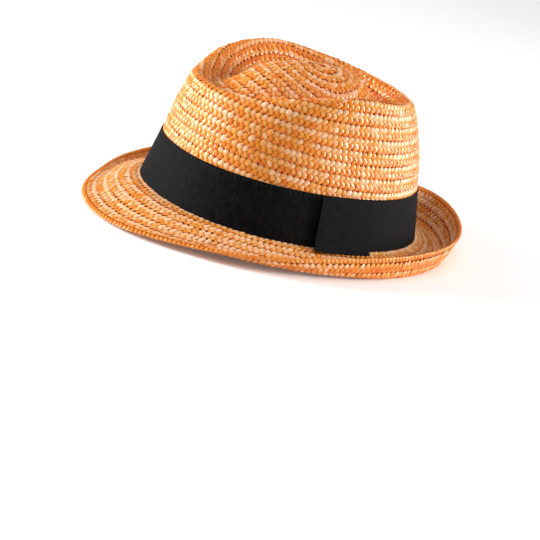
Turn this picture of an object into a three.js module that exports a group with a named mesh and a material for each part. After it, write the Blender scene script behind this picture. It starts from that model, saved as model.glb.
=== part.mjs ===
// Straw trilby: a teardrop crown, a turned brim with a rolled rim, and a ribbon with a flat bow. The
// crown's straw is one run on a real hat, and is parted here at its crest.
// Millimetres, +Z up. The front of the hat faces -Y and the bow is on the wearer's left, at +X.
// The form is worked out in the frame of the headline, the oval where the crown meets the brim. The
// hat is then laid at rest, where it leans back a little: it stands on the front of its rim and on
// the lowest line of its turned-up sides and back.
import * as THREE from 'three';

// Driving dimensions.
const STRAW_WALL = 2; // thickness of the sewn straw in the crown and the brim
const RIM_RADIUS = 1.6; // the rolled last row round the brim
const RIBBON_WALL = 1;
const BOW_WALL = 1.2;
const SEAM_GAP = 0.3; // clearance between pieces that touch on a real hat
const RIBBON_FOOT = 0.01; // where the ribbon starts, as a share of its height above the headline
const BOW_FRONT = THREE.MathUtils.degToRad(79); // the bow's two edges, round from the front
const BOW_REAR = THREE.MathUtils.degToRad(103);
const BOW_LIFT = 1.6; // how far the bow's front edge stands off the ribbon
const BOW_DROP = 1.1; // how far the bow reaches below the headline
const REST_LEAN = THREE.MathUtils.degToRad(2.6); // between the headline and the level of rest

// How finely the surfaces are divided.
const SEGMENTS_AROUND = 64;
const RIM_SIDES = 10;
const RIBBON_STEPS = 3;
const BOW_COLUMNS = 8;

// Each ring is an oval round the hat: how far it reaches to the front, the back and either side, how
// square it is, how far it is pressed in at the two front corners, and its height above the headline
// at the stations. The stations stand every 30 degrees from the front to the back, and both sides
// are alike. Steps counts the bands of facets between a ring and the next.
const STATION = THREE.MathUtils.degToRad(30);
const PINCH_AT = THREE.MathUtils.degToRad(40);
const PINCH_SPREAD = THREE.MathUtils.degToRad(18);
const CROWN_RINGS = [
  { name: 'headline', front: 103, back: 103, side: 85.3, power: 2.15, pinch: 0, steps: 2,
    heights: [0, 0, 0, 0, 0, 0, 0] },
  { name: 'ribbon top', front: 96.5, back: 95, side: 77.5, power: 2.15, pinch: 0, steps: 2,
    heights: [34.5, 34.5, 34.5, 34.5, 34.5, 34.5, 34.5] },
  { name: 'wall', front: 93.2, back: 87.5, side: 71.2, power: 2.15, pinch: 1.5, steps: 5,
    heights: [60, 64, 68.4, 69, 66, 63, 62] },
  { name: 'crest', front: 89, back: 68.3, side: 65.6, power: 2.02, pinch: 3.9, steps: 5,
    heights: [80.4, 83.2, 92.9, 101, 98.5, 95.8, 94.5] },
  { name: 'groove', front: 71, back: 56, side: 41, power: 2.05, pinch: 0, steps: 3,
    heights: [77, 77.5, 79, 79, 79, 78, 77] },
  { name: 'mound', front: 46, back: 39, side: 24.5, power: 2, pinch: 0, steps: 3,
    heights: [92.5, 93.5, 94.7, 95.5, 96, 96, 95.5] },
  { name: 'tip', front: 19, back: 19, side: 7, power: 2, pinch: 0, steps: 0,
    heights: [102.6, 102.6, 102.6, 102.6, 102.6, 102.6, 102.6] },
];
const TIP_HEIGHT = 103.2;
const BRIM_RINGS = [
  { name: 'headline', front: 101, back: 101, side: 83.3, power: 2.15, pinch: 0, steps: 2,
    heights: [-1.3, -1.3, -1.3, -1.3, -1.3, -1.3, -1.3] },
  { name: 'flat', front: 112, back: 111, side: 93, power: 2.12, pinch: 0, steps: 2,
    heights: [-3.4, -3.5, -4.2, -4.7, -4.4, -3.4, -2.8] },
  { name: 'slope', front: 123, back: 120, side: 100.5, power: 2.1, pinch: 0, steps: 3,
    heights: [-8.5, -8.5, -8.3, -8.9, -8.4, -6.9, -5.8] },
  { name: 'keel', front: 132, back: 127.5, side: 105, power: 2.08, pinch: 3.5, steps: 3,
    heights: [-13.9, -12.6, -11.2, -11, -10.3, -8.4, -7.2] },
  { name: 'edge', front: 142, back: 137, side: 108.8, power: 2.1, pinch: 4.8, steps: 0,
    heights: [-18, -14.3, -8.2, 0.2, 5.1, 8.9, 14] },
];

const STRAW = { color: '#dd9a52', roughness: 0.38, metalness: 0 };
const ROLLED_STRAW = { color: '#d28c45', roughness: 0.4, metalness: 0 };
const GROSGRAIN = { color: '#18181a', roughness: 0.8, metalness: 0 };

// A smooth curve through equally spaced values, read at a share t of the way from b to c.
function smooth(a, b, c, d, t) {
  const slopeIn = (c - a) / 2;
  const slopeOut = (d - b) / 2;
  const square = 3 * (c - b) - 2 * slopeIn - slopeOut;
  const cube = 2 * (b - c) + slopeIn + slopeOut;
  return b + t * (slopeIn + t * (square + t * cube));
}

// How far an angle is from the front, on either side.
function fromFront(angle) {
  return Math.abs(Math.atan2(Math.sin(angle), Math.cos(angle)));
}

// A ring's height at an angle. Past the front and the back, the stations repeat in reverse.
function heightAt(heights, angle) {
  const last = heights.length - 1;
  const place = fromFront(angle) / STATION;
  const start = Math.min(Math.floor(place), last - 1);
  const [a, b, c, d] = [-1, 0, 1, 2].map((i) => heights[last - Math.abs(last - Math.abs(start + i))]);
  return smooth(a, b, c, d, place - start);
}

// The point of a ring at an angle from the front, counted towards the wearer's left.
function ringPoint(ring, angle) {
  const along = Math.cos(angle);
  const across = Math.sin(angle);
  const reach = along > 0 ? ring.front : ring.back;
  const curl = 2 / ring.power;
  const point = new THREE.Vector2(
    ring.side * Math.sign(across) * Math.abs(across) ** curl,
    -reach * Math.sign(along) * Math.abs(along) ** curl,
  );
  const pressed = ring.pinch * Math.exp(-(((fromFront(angle) - PINCH_AT) / PINCH_SPREAD) ** 2));
  point.setLength(point.length() - pressed);
  return new THREE.Vector3(point.x, point.y, heightAt(ring.heights, angle));
}

// A surface through rings, read at an angle and a place. Places count rings: 0 is the first ring,
// and 1.5 is halfway from the second to the third.
function ringSurface(rings) {
  return (angle, place) => {
    const points = rings.map((ring) => ringPoint(ring, angle));
    return new THREE.CatmullRomCurve3(points, false, 'centripetal').getPoint(place / (rings.length - 1));
  };
}

// The direction in which a surface's place grows, and its normal: out of a crown, and down under a
// brim.
function surfaceAxes(surface, angle, place, lastPlace) {
  const step = 0.01;
  const around = surface(angle + step, place).sub(surface(angle - step, place));
  const low = surface(angle, Math.max(place - step, 0));
  const along = surface(angle, Math.min(place + step, lastPlace)).sub(low).normalize();
  return { along, normal: around.cross(along).normalize() };
}

// A copy of a surface, a distance away along its normal.
function offsetSurface(surface, distance, lastPlace) {
  return (angle, place) => {
    const { normal } = surfaceAxes(surface, angle, place, lastPlace);
    return surface(angle, place).addScaledVector(normal, distance);
  };
}

// The places where a surface's facets meet, between two of its rings.
function facetPlaces(rings, first = 0, last = rings.length - 1) {
  const places = rings.slice(first, last).flatMap((ring, i) => {
    return Array.from({ length: ring.steps }, (_, step) => first + i + step / ring.steps);
  });
  return [...places, last];
}

// A row of points all round the hat at one place of a surface.
function rowAround(surface, place) {
  const turn = (2 * Math.PI) / SEGMENTS_AROUND;
  return Array.from({ length: SEGMENTS_AROUND }, (_, i) => surface(i * turn, place));
}

// A solid whose faces run from each closed row of points to the next.
class RowSolid {
  constructor(rows) {
    this.size = rows[0].length;
    this.points = rows.flat();
    this.rowCount = rows.length;
    this.faces = [];
    for (let row = 1; row < rows.length; row += 1) this.join(row - 1, row);
  }

  // The number of a point of a row, which goes round past the row's end.
  corner(row, i) {
    return row * this.size + (i % this.size);
  }

  join(below, above) {
    for (let i = 0; i < this.size; i += 1) {
      const [near, far] = [this.corner(below, i), this.corner(below, i + 1)];
      const [nearUp, farUp] = [this.corner(above, i), this.corner(above, i + 1)];
      this.faces.push([near, far, farUp], [near, farUp, nearUp]);
    }
  }

  // Closes a ring of rows, from the last one back to the first.
  closeLoop() {
    this.join(this.rowCount - 1, 0);
    return this;
  }

  // Closes both ends of a stack of rows, each over a point.
  closeEnds(firstPoint, lastPoint) {
    const first = this.points.push(firstPoint) - 1;
    const last = this.points.push(lastPoint) - 1;
    const lastRow = this.rowCount - 1;
    for (let i = 0; i < this.size; i += 1) {
      this.faces.push([first, this.corner(0, i + 1), this.corner(0, i)]);
      this.faces.push([last, this.corner(lastRow, i), this.corner(lastRow, i + 1)]);
    }
    return this;
  }

  mesh(name, finish) {
    const geometry = new THREE.BufferGeometry().setFromPoints(this.points);
    geometry.setIndex(this.faces.flat());
    geometry.computeVertexNormals();
    const mesh = new THREE.Mesh(geometry, new THREE.MeshStandardMaterial(finish));
    mesh.name = name;
    return mesh;
  }
}

const crownSurface = ringSurface(CROWN_RINGS);
const brimSurface = ringSurface(BRIM_RINGS);
const CROWN_END = CROWN_RINGS.length - 1;
const CREST = CROWN_RINGS.findIndex((ring) => ring.name === 'crest');
const BRIM_END = BRIM_RINGS.length - 1;

// The crown's inner face, which ends level with the headline.
function crownLining(angle, place) {
  const point = offsetSurface(crownSurface, -STRAW_WALL, CROWN_END)(angle, place);
  return point.setZ(Math.max(point.z, 0));
}

// One of the crown's two faces, drawn back from the crest where it ends there: towards the headline
// with a side of -1, and towards the tip with a side of 1.
function shortOfCrest(surface, side) {
  return (angle, place) => {
    const point = surface(angle, place);
    if (place !== CREST) return point;
    const { along } = surfaceAxes(crownSurface, angle, place, CROWN_END);
    return point.addScaledVector(along, (side * SEAM_GAP) / 2);
  };
}

// The crown's wall: down inside from the crest to the headline, and back up outside.
function makeCrownWall() {
  const places = facetPlaces(CROWN_RINGS, 0, CREST);
  const inside = places.map((place) => rowAround(shortOfCrest(crownLining, -1), place)).reverse();
  const outside = places.map((place) => rowAround(shortOfCrest(crownSurface, -1), place));
  return new RowSolid([...inside, ...outside]).closeLoop().mesh('crown_wall', STRAW);
}

// The crown's top: down inside from the tip to the crest, and back up outside.
function makeCrownTop() {
  const places = facetPlaces(CROWN_RINGS, CREST);
  const inside = places.map((place) => rowAround(shortOfCrest(crownLining, 1), place)).reverse();
  const outside = places.map((place) => rowAround(shortOfCrest(crownSurface, 1), place));
  const tip = new THREE.Vector3(0, 0, TIP_HEIGHT);
  const tipInside = new THREE.Vector3(0, 0, TIP_HEIGHT - STRAW_WALL);
  return new RowSolid([...inside, ...outside]).closeEnds(tipInside, tip).mesh('crown_top', STRAW);
}

// The brim: out along its underside, which lies flat where it meets the level of rest, and back in
// along its top. The level is a depth below the headline's centre, and leans to the headline.
function makeBrim(restDepth) {
  const bottom = offsetSurface(brimSurface, STRAW_WALL / 2, BRIM_END);
  const top = offsetSurface(brimSurface, -STRAW_WALL / 2, BRIM_END);
  const underside = (angle, place) => {
    const point = bottom(angle, place);
    const level = (point.y * Math.sin(REST_LEAN) - restDepth) / Math.cos(REST_LEAN);
    return point.setZ(Math.max(point.z, level));
  };
  const places = facetPlaces(BRIM_RINGS);
  const out = places.map((place) => rowAround(underside, place));
  const back = places.map((place) => rowAround(top, place)).reverse();
  return new RowSolid([...out, ...back]).closeLoop().mesh('brim', STRAW);
}

// The rim: a round roll of straw along the brim's edge.
function makeRim() {
  const rimSurface = (angle, turn) => {
    const { along, normal } = surfaceAxes(brimSurface, angle, BRIM_END, BRIM_END);
    return brimSurface(angle, BRIM_END)
      .addScaledVector(along, SEAM_GAP + RIM_RADIUS * (1 - Math.cos(turn)))
      .addScaledVector(normal, RIM_RADIUS * Math.sin(turn));
  };
  const turn = (2 * Math.PI) / RIM_SIDES;
  const rows = Array.from({ length: RIM_SIDES }, (_, side) => rowAround(rimSurface, (side + 0.5) * turn));
  return new RowSolid(rows).closeLoop().mesh('brim_rim', ROLLED_STRAW);
}

// The ribbon: a band that hugs the foot of the crown.
function makeRibbon() {
  const face = offsetSurface(crownSurface, SEAM_GAP + RIBBON_WALL, CROWN_END);
  const lining = offsetSurface(crownSurface, SEAM_GAP, CROWN_END);
  const places = Array.from({ length: RIBBON_STEPS + 1 }, (_, i) => {
    return THREE.MathUtils.lerp(RIBBON_FOOT, 1, i / RIBBON_STEPS);
  });
  const outside = places.map((place) => rowAround(face, place));
  const inside = places.map((place) => rowAround(lining, place)).reverse();
  return new RowSolid([...outside, ...inside]).closeLoop().mesh('ribbon_band', GROSGRAIN);
}

// The bow: a flat upright strip over the ribbon, standing off it towards its front edge.
function makeBow() {
  const seat = SEAM_GAP + RIBBON_WALL + SEAM_GAP;
  const column = (share) => {
    const angle = THREE.MathUtils.lerp(BOW_FRONT, BOW_REAR, share);
    const lift = BOW_LIFT * (1 - share) ** 2;
    const corner = (place, drop, depth) => {
      const { along, normal } = surfaceAxes(crownSurface, angle, place, CROWN_END);
      return crownSurface(angle, place).addScaledVector(normal, seat + lift + depth).addScaledVector(along, -drop);
    };
    const outside = [corner(1, 0, BOW_WALL), corner(0.5, 0, BOW_WALL), corner(0, BOW_DROP, BOW_WALL)];
    const inside = [corner(0, BOW_DROP, 0), corner(0.5, 0, 0), corner(1, 0, 0)];
    return [...outside, ...inside];
  };
  const rows = Array.from({ length: BOW_COLUMNS + 1 }, (_, i) => column(i / BOW_COLUMNS));
  const middle = (row) => row.reduce((sum, point) => sum.add(point), new THREE.Vector3()).divideScalar(row.length);
  return new RowSolid(rows).closeEnds(middle(rows[0]), middle(rows[BOW_COLUMNS])).mesh('ribbon_bow', GROSGRAIN);
}

// The hat, leaned as it rests. The rim's lowest point, at the front, sets how deep the level of rest
// is, and the origin lies on that level below the middle of the whole hat.
const trilby = new THREE.Group();
trilby.rotation.x = -REST_LEAN;
trilby.add(makeRim());
const restDepth = -new THREE.Box3().setFromObject(trilby, true).min.z;
trilby.add(makeCrownWall(), makeCrownTop(), makeBrim(restDepth), makeRibbon(), makeBow());
const middle = new THREE.Box3().setFromObject(trilby, true).getCenter(new THREE.Vector3());
trilby.position.set(0, -middle.y, restDepth);

export default trilby;
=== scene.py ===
"""A straw trilby of sewn braid, with a rolled rim, a grosgrain ribbon and a flat bow."""

import logging
import math
from dataclasses import dataclass
from enum import Enum
from typing import Callable, Sequence

import bpy
import numpy as np
from mathutils import Matrix, Vector


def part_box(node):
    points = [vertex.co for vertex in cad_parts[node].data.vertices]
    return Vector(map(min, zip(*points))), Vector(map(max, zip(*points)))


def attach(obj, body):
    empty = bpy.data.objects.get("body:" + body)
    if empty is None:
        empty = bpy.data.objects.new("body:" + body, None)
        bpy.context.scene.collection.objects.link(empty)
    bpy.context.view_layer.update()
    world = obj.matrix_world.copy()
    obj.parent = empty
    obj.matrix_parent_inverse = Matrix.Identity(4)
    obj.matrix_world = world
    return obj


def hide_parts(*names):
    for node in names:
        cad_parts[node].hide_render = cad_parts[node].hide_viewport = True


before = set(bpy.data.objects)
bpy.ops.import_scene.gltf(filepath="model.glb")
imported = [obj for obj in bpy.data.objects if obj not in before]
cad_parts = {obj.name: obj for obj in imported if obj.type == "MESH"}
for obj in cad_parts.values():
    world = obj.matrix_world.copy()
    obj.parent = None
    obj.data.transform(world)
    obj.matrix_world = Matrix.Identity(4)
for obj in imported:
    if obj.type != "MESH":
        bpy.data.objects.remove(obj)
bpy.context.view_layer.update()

Array = np.ndarray
Piece = bpy.types.Object
Socket = bpy.types.NodeSocket
Colour = tuple[float, float, float]
Reading = Callable[[Array, Array], Array]

LOG = logging.getLogger("trilby")
MM = 0.001
FULL_TURN = 2 * math.pi
STATION = math.radians(30)
PINCH_AT, PINCH_SPREAD = math.radians(40), math.radians(18)
REST_LEAN = math.radians(2.6)
RIBBON_HEIGHT = 34.5
FLOOR_GAP = 0.05 * MM
RING_POINTS = 1441


class Side(Enum):
    """Which face of the straw a layer of braid lies on."""

    OUTSIDE = 1
    INSIDE = -1


# The form: smooth surfaces through ovals, in millimetres over the headline.


def station_value(values: Sequence[float], angles: Array) -> Array:
    """Reads a smooth curve through values that stand every 30 degrees from the front to the back.

    Args:
        values: One value for each station. Both sides of the hat are alike.
        angles: Angles round the hat from the front, in radians.

    Returns:
        The curve's value at each angle.
    """
    table = np.asarray(values, float)
    last = len(table) - 1
    place = np.abs(np.arctan2(np.sin(angles), np.cos(angles))) / STATION
    start = np.minimum(np.floor(place).astype(int), last - 1)
    share = place - start
    a, b, c, d = (table[last - np.abs(last - np.abs(start + i))] for i in (-1, 0, 1, 2))
    slope_in, slope_out = (c - a) / 2, (d - b) / 2
    square = 3 * (c - b) - 2 * slope_in - slope_out
    cube = 2 * (b - c) + slope_in + slope_out
    return b + share * (slope_in + share * (square + share * cube))


@dataclass(frozen=True)
class Oval:
    """One oval round the hat, in millimetres over the headline.

    Attributes:
        front: Reach to the front.
        back: Reach to the back.
        side: Reach to either side.
        power: How square the oval is.
        pinch: How far it is pressed in at the two front corners.
        heights: Height at each station.
    """

    front: float
    back: float
    side: float
    power: float
    pinch: float
    heights: tuple[float, ...]

    def points(self, angles: Array) -> Array:
        """Gives the oval's points.

        Args:
            angles: Angles from the front, counted towards the wearer's left.

        Returns:
            The points, in millimetres.
        """
        along, across = np.cos(angles), np.sin(angles)
        curl = 2 / self.power
        reach = np.where(along > 0, self.front, self.back)
        x = self.side * np.sign(across) * np.abs(across) ** curl
        y = -reach * np.sign(along) * np.abs(along) ** curl
        off_front = np.abs(np.arctan2(across, along))
        pressed = self.pinch * np.exp(-(((off_front - PINCH_AT) / PINCH_SPREAD) ** 2))
        keep = 1 - pressed / np.maximum(np.hypot(x, y), 1e-9)
        return np.stack([x * keep, y * keep, station_value(self.heights, angles)], -1)


CROWN_OVALS = (
    Oval(103, 103, 85.3, 2.15, 0, (0,) * 7),
    Oval(96.5, 95, 77.5, 2.15, 0, (RIBBON_HEIGHT,) * 7),
    Oval(93.2, 87.5, 71.2, 2.15, 1.5, (60, 64, 68.4, 69, 66, 63, 62)),
    Oval(89, 68.3, 65.6, 2.02, 3.9, (80.4, 83.2, 92.9, 101, 98.5, 95.8, 94.5)),
    Oval(71, 56, 41, 2.05, 0, (77, 77.5, 79, 79, 79, 78, 77)),
    Oval(46, 39, 24.5, 2, 0, (92.5, 93.5, 94.7, 95.5, 96, 96, 95.5)),
    Oval(19, 19, 7, 2, 0, (102.6,) * 7),
    Oval(0.01, 0.01, 0.01, 2, 0, (103.2,) * 7),
)
RIBBON_TOP, CREST, TROUGH = 1, 3, 4
BRIM_OVALS = (
    Oval(101, 101, 83.3, 2.15, 0, (-1.3,) * 7),
    Oval(112, 111, 93, 2.12, 0, (-3.4, -3.5, -4.2, -4.7, -4.4, -3.4, -2.8)),
    Oval(123, 120, 100.5, 2.1, 0, (-8.5, -8.5, -8.3, -8.9, -8.4, -6.9, -5.8)),
    Oval(132, 127.5, 105, 2.08, 3.5, (-13.9, -12.6, -11.2, -11, -10.3, -8.4, -7.2)),
    Oval(142, 137, 108.8, 2.1, 4.8, (-18, -14.3, -8.2, 0.2, 5.1, 8.9, 14)),
)


def lean(points: Array) -> Array:
    """Leans points or directions as the hat leans at rest.

    Args:
        points: Points or directions over the level headline.

    Returns:
        The same, leaned back.
    """
    x, y, z = np.moveaxis(np.asarray(points, float), -1, 0)
    sine, cosine = math.sin(REST_LEAN), math.cos(REST_LEAN)
    return np.stack([x, y * cosine + z * sine, z * cosine - y * sine], -1)


def rest_offset() -> Array:
    """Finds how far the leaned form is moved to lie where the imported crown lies.

    Returns:
        The move, in metres.
    """
    front = lean(CROWN_OVALS[0].points(np.zeros(1)))[0] * MM
    top = lean(CROWN_OVALS[-2].points(np.zeros(1)))[0] * MM
    return np.array([0.0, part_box("crown_wall")[0].y - front[1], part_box("crown_top")[1].z - top[2]])


def between(time: Array, start: Array, end: Array, first: Array, last: Array) -> Array:
    """Gives the point between two at a time between theirs."""
    return (end - time) / (end - start) * first + (time - start) / (end - start) * last


class Surface:
    """A smooth surface through ovals, read at an angle and a share of the section's length.

    Attributes:
        lengths: Length of the section at each degree, in metres.
        oval_shares: Share of the section at which each oval stands, at each degree.
        points: Points of a fine grid over the surface at rest, in metres.
        normals: Direction of the outer face at each of them.
    """

    COLUMNS = 360
    ROWS = 300
    STEPS = 24

    def __init__(self, ovals: Sequence[Oval], offset: Array) -> None:
        """Works the surface out on its grid.

        Args:
            ovals: The ovals, from the headline outwards or upwards.
            offset: Where the leaned form's origin lies at rest, in metres.
        """
        angles = np.linspace(0, FULL_TURN, self.COLUMNS + 1)
        section = self._through(np.stack([oval.points(angles) for oval in ovals]))
        reach = np.linalg.norm(np.diff(section, axis=0), axis=-1)
        run = np.concatenate([np.zeros((1, len(angles))), np.cumsum(reach, 0)])
        shares = np.linspace(0, 1, self.ROWS + 1)
        points = np.empty((self.ROWS + 1, len(angles), 3))
        for column in range(len(angles)):
            known = run[:, column] / run[-1, column]
            for axis in range(3):
                points[:, column, axis] = np.interp(shares, known, section[:, column, axis])
        self.lengths = run[-1] * MM
        self.oval_shares = run[:: self.STEPS] / run[-1]
        self.points = lean(points) * MM + offset
        self.normals = self._normals()

    def _through(self, rings: Array) -> Array:
        """Draws a centripetal curve through the rings.

        Args:
            rings: The ovals' points.

        Returns:
            The curve's points, in equal steps between each two rings.
        """
        first, last = 2 * rings[0] - rings[1], 2 * rings[-1] - rings[-2]
        padded = np.concatenate([first[None], rings, last[None]])
        out = []
        for i in range(len(rings) - 1):
            p0, p1, p2, p3 = padded[i : i + 4]
            t1, step2, step3 = (
                np.maximum(np.linalg.norm(b - a, axis=-1), 1e-6)[:, None] ** 0.5
                for a, b in ((p0, p1), (p1, p2), (p2, p3))
            )
            t2 = t1 + step2
            t3 = t2 + step3
            for step in range(self.STEPS):
                t = t1 + (t2 - t1) * step / self.STEPS
                a1, a2, a3 = between(t, 0, t1, p0, p1), between(t, t1, t2, p1, p2), between(t, t2, t3, p2, p3)
                b1, b2 = between(t, 0, t2, a1, a2), between(t, t1, t3, a2, a3)
                out.append(between(t, t1, t2, b1, b2))
        out.append(rings[-1])
        return np.stack(out)

    def _normals(self) -> Array:
        """Finds which way the outer face looks, upright as leaned at a closed tip.

        Returns:
            The direction at each point of the grid.
        """
        ring = self.points[:, :-1]
        around = np.roll(ring, -1, 1) - np.roll(ring, 1, 1)
        normal = np.cross(around, np.gradient(ring, axis=0))
        normal = normal / np.maximum(np.linalg.norm(normal, axis=-1, keepdims=True), 1e-15)
        if normal[0, 0, 2] < 0:
            normal = -normal
        closed = np.linalg.norm(around, axis=-1) < 2e-6
        normal[closed] = lean(np.array([0.0, 0.0, 1.0]))
        return np.concatenate([normal, normal[:, :1]], 1)

    def read(self, grid: Array, angle: Array, share: Array) -> Array:
        """Reads values on the grid by straight lines between its points.

        Args:
            grid: The values.
            angle: Angles round the hat.
            share: Shares of the section's length.

        Returns:
            The value at each angle and share.
        """
        column = np.mod(angle, FULL_TURN) / FULL_TURN * self.COLUMNS
        row = np.clip(share, 0, 1) * self.ROWS
        i = np.minimum(row.astype(int), self.ROWS - 1)
        j = np.minimum(column.astype(int), self.COLUMNS - 1)
        u, v = (row - i)[..., None], (column - j)[..., None]
        low = grid[i, j] * (1 - v) + grid[i, j + 1] * v
        high = grid[i + 1, j] * (1 - v) + grid[i + 1, j + 1] * v
        return low * (1 - u) + high * u

    def place(self, angle: Array, share: Array, lift: Array) -> Array:
        """Gives points over the surface.

        Args:
            angle: Angles round the hat.
            share: Shares of the section's length.
            lift: Distance off the surface, in metres.

        Returns:
            The points, in metres.
        """
        normal = self.read(self.normals, angle, share)
        normal = normal / np.maximum(np.linalg.norm(normal, axis=-1, keepdims=True), 1e-12)
        return self.read(self.points, angle, share) + normal * np.asarray(lift)[..., None]

    def around(self, values: Array, angle: Array) -> Array:
        """Reads values that stand at each degree round the hat."""
        column = np.mod(angle, FULL_TURN) / FULL_TURN * self.COLUMNS
        return np.interp(column, np.arange(self.COLUMNS + 1), values)

    def oval_share(self, oval: int, angle: Array) -> Array:
        """Gives the share of the section at which an oval stands, at each angle."""
        return self.around(self.oval_shares[oval], angle)

    def rate(self, angle: Array, share: Array) -> Array:
        """Gives the metres round the surface for each radian.

        Args:
            angle: Angles round the hat.
            share: Shares of the section's length.

        Returns:
            The rate at each angle and share.
        """
        step = 0.01
        ahead = self.read(self.points, angle + step, share)
        behind = self.read(self.points, angle - step, share)
        return np.linalg.norm(ahead - behind, axis=-1) / (2 * step)


def run_along(line: Array) -> Array:
    """Gives the distance run along a line of points, from its first."""
    return np.concatenate([[0], np.cumsum(np.linalg.norm(np.diff(line, axis=0), axis=-1))])


# The lay of the braid.


@dataclass
class BraidRows:
    """Rows of braid over a surface, each lapped over the next by its outer edge.

    Attributes:
        surface: The surface that the rows lie on.
        counts: Rows across the section at each station.
        spiral: True where the rows are one spiral from the tip, false where they are closed rings.
        from_tip: True where the rows are counted from the far end of the section.
        lead: Turns of braid that are tucked in at the tip before a spiral's first whole turn.
    """

    # Place across a row at which seats are spaced, and points on which a turn is measured.
    MIDDLE, STEPS_A_TURN = 0.5, 720

    surface: Surface
    counts: tuple[float, ...]
    spiral: bool
    from_tip: bool
    lead: float = 0.6

    def share(self, angle: Array, row: Array) -> Array:
        """Gives the share of the section at which a row number stands, at each angle."""
        part = row / station_value(self.counts, angle)
        return 1 - part if self.from_tip else part

    def pitch(self, angle: Array) -> Array:
        """Gives the width of a row at each angle, in metres."""
        return self.surface.around(self.surface.lengths, angle) / station_value(self.counts, angle)

    def row(self, turn: Array, across: Array, ring: Array) -> Array:
        """Gives the row number at a turn along the spiral or in a ring, and a place across it."""
        return (turn / FULL_TURN if self.spiral else ring) + across

    def seats(self, spacing: float, last: float) -> tuple[Array, Array]:
        """Finds evenly spaced seats along the middle of the braid.

        Args:
            spacing: Distance between seats, in metres.
            last: Number of rows to fill.

        Returns:
            The turn and the ring number of each seat.
        """
        if self.spiral:
            turn = np.linspace(-self.lead * FULL_TURN, last * FULL_TURN, int(last * self.STEPS_A_TURN))
            return self._spaced(turn, np.zeros_like(turn), spacing)
        turn = np.linspace(0, FULL_TURN, RING_POINTS)
        rings = [self._spaced(turn, np.full_like(turn, ring), spacing) for ring in range(int(round(last)))]
        turns, numbers = zip(*rings)
        return np.concatenate(turns), np.concatenate(numbers)

    def _spaced(self, turn: Array, ring: Array, spacing: float) -> tuple[Array, Array]:
        """Puts seats on a line along the braid, a whole number of them on a closed line.

        Args:
            turn: Turns along the line, in radians.
            ring: Ring number at each.
            spacing: Distance between seats, in metres.

        Returns:
            The turn and the ring number of each seat.
        """
        row = self.row(turn, np.full_like(turn, self.MIDDLE), ring)
        run = run_along(self.surface.place(turn, self.share(turn, row), np.zeros_like(turn)))
        number = max(int(round(run[-1] / spacing)), 3)
        stops = np.linspace(0, run[-1], number, endpoint=self.spiral)
        return np.interp(stops, run, turn), np.interp(stops, run, ring)


@dataclass(frozen=True)
class StrawCut:
    """A short length of straw that shows between the crossings of the braid.

    Attributes:
        length: Length in millimetres.
        width: Width in millimetres.
        across: Place of its middle across the row, from the inner to the outer edge.
        shift: Place of its middle along the row, as a share of the spacing.
        slant: Angle between the straw and the row, in degrees, rising towards the row's inner edge.
        rise: Height of its middle over the straw bed, in millimetres.
        widths: Width at each station from the outer to the inner end, as a share.
        lifts: Height of the middle at each station, as a share.
        crown: Height of each point across, as a share, from edge to edge.
        brightness: How pale the straw is, from 0 to 1.
    """

    length: float
    width: float
    across: float
    shift: float
    slant: float
    rise: float
    widths: tuple[float, ...]
    lifts: tuple[float, ...]
    crown: tuple[float, ...]
    brightness: float


OUTER_STRAWS = (
    StrawCut(
        5.8, 3.8, 0.4, 0.0, 50, 1.25,
        (0.98, 1.0, 1.0, 1.0, 0.98), (0.1, 0.58, 0.9, 1.08, 0.78), (0.5, 0.97, 1.0, 0.97, 0.5), 0.72,
    ),
    StrawCut(
        4.4, 3.4, 0.79, 0.44, 130, 1.0,
        (0.96, 1.0, 1.0, 0.96), (0.4, 0.9, 1.0, 0.62), (0.45, 0.98, 0.98, 0.45), 0.5,
    ),
    StrawCut(3.0, 3.3, 1.0, 0.1, 60, 0.85, (0.5, 0.95, 1.0), (0.6, 1.0, 0.6), (0.2, 0.95, 0.95, 0.2), 0.25),
)
LINING_STRAWS = (
    StrawCut(4.9, 3.5, 0.34, 0.0, 52, 0.5, (0.7, 1.0, 0.7), (0.3, 1.0, 0.4), (0.0, 1.0, 0.0), 0.45),
    StrawCut(4.6, 3.3, 0.8, 0.35, 128, 0.4, (0.7, 1.0, 0.7), (0.4, 1.0, 0.4), (0.0, 1.0, 0.0), 0.35),
)
RIM_STRAW = StrawCut(
    4.3, 2.9, 0.5, 0, 90, 0.75, (0.7, 1, 1, 1, 0.7), (0.4, 1, 1, 1, 0.4), (0, 0.95, 0.95, 0), 0.42,
)
STITCH = StrawCut(2.0, 0.8, 0, 0, 0, 0.45, (0.6, 1, 1, 0.6), (0.3, 1, 1, 0.3), (0, 1, 0), 0)


def leave_edit_mode() -> None:
    """Goes back to object mode with nothing selected."""
    if bpy.context.object is not None and bpy.context.object.mode != "OBJECT":
        bpy.ops.object.mode_set(mode="OBJECT")
    bpy.ops.object.select_all(action="DESELECT")


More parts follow.
